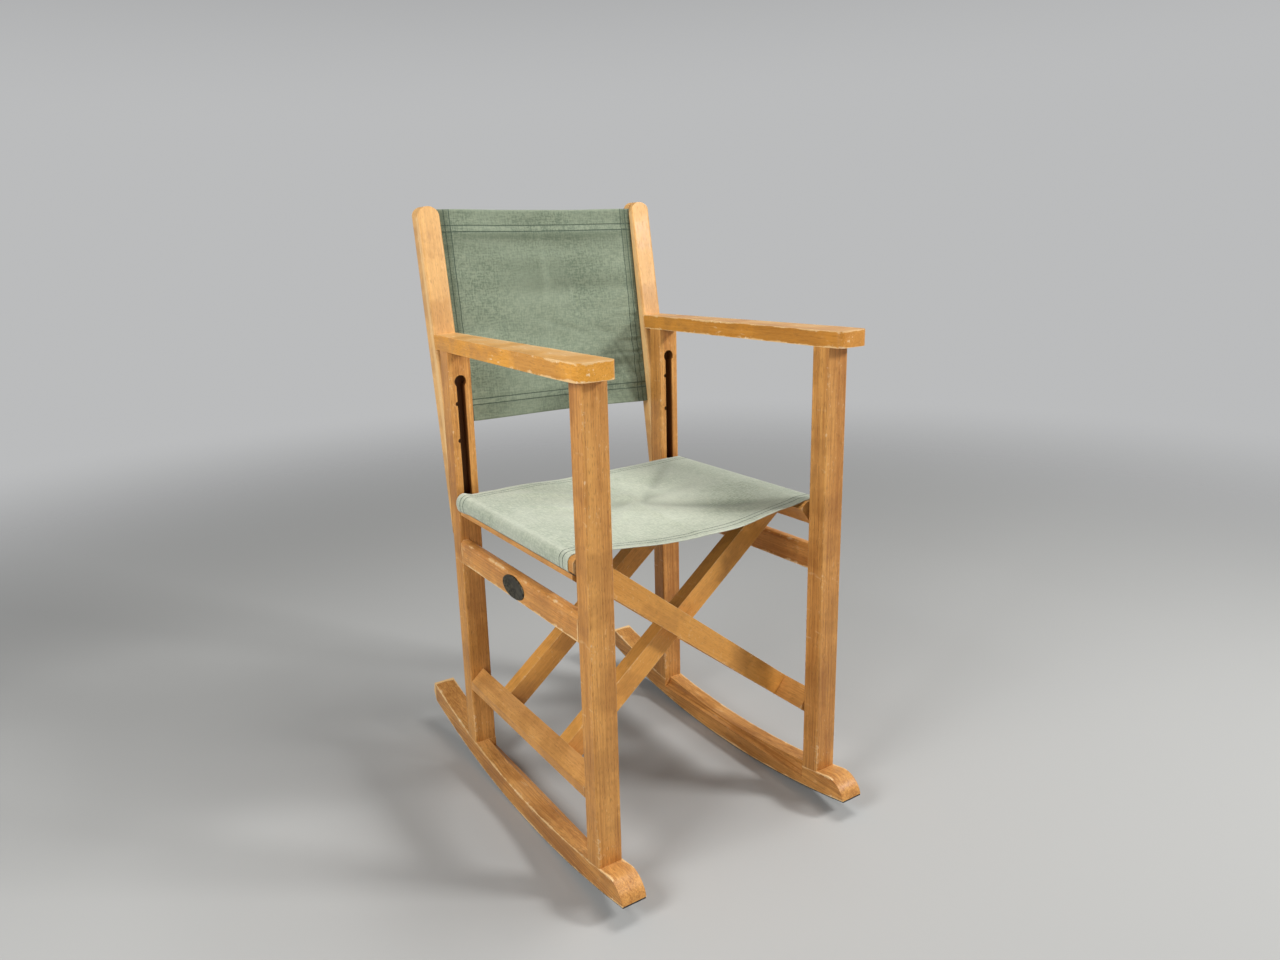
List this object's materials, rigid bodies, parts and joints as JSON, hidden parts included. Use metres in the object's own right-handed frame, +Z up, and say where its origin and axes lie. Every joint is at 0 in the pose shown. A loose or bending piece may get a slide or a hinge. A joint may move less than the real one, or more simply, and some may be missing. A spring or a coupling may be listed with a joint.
{
  "type": "folding rocking directors chair",
  "caption": "Folding wooden directors chair on curved rockers with a canvas seat and back and flat armrests.",
  "frame": {"origin": "centre of the open chair's bounding box on the floor", "axes": "+Z up, the sitter faces -Y, X across the chair with the oval plate's side at -X"},
  "size_m": [0.474, 0.6328, 0.9355],
  "materials": {
    "wood": "worn satin varnish",
    "canvas": "faded sage green canvas, plain weave",
    "steel": "dull zinc",
    "bushing": "dark turned bushing",
    "black": "black sole strip and bare dark oval plate"
  },
  "bodies": {
    "left_side": {"left_front_post": "wood", "left_rear_post": "wood", "left_armrest": "wood", "left_mid_rail": "wood", "left_rocker": "wood", "left_sole": "black", "left_back_stile": "wood", "left_frame_dowels": "wood", "left_stile_screws": "steel", "left_pivot_pins": "steel", "left_back_rod": "steel", "oval_plate": "black", "back_canvas": "canvas"},
    "inner_ladder": {"left_lower_rail": "wood", "right_seat_rail": "wood", "right_seat_batten": "wood", "right_batten_screws": "steel", "front_inner_bar": "wood", "rear_inner_bar": "wood", "right_slide_pins": "steel", "right_slide_bushings": "bushing", "seat_canvas": "canvas"},
    "outer_ladder": {"right_lower_rail": "wood", "left_seat_rail": "wood", "left_seat_batten": "wood", "left_batten_screws": "steel", "front_outer_bar": "wood", "rear_outer_bar": "wood", "left_slide_pins": "steel", "left_slide_bushings": "bushing", "cross_pins": "steel", "cross_washers": "steel"},
    "right_side": {"right_front_post": "wood", "right_rear_post": "wood", "right_armrest": "wood", "right_mid_rail": "wood", "right_rocker": "wood", "right_sole": "black", "right_back_stile": "wood", "right_frame_dowels": "wood", "right_stile_screws": "steel", "right_pivot_pins": "steel", "right_back_rod": "steel"}
  },
  "joints": [
    {"name": "fold", "type": "hinge", "parent": "left_side", "child": "inner_ladder", "pos_m": [-0.201, 0, 0.15363], "axis": [0, -1, 0], "range_deg": [0, 46.8], "deforming": ["back_canvas"]},
    {"name": "cross_pivot", "type": "hinge", "parent": "inner_ladder", "child": "outer_ladder", "pos_m": [0, 0, 0.31352], "axis": [0, -1, 0], "range_deg": [-93.6, 0], "deforming": ["seat_canvas"]},
    {"name": "right_pivot", "type": "hinge", "parent": "outer_ladder", "child": "right_side", "pos_m": [0.201, 0, 0.15363], "axis": [0, -1, 0], "range_deg": [0, 46.8]}
  ],
  "couplings": [
    {"joint": "cross_pivot", "follows": "fold", "ratio": -2},
    {"joint": "right_pivot", "follows": "fold", "ratio": 1}
  ]
}
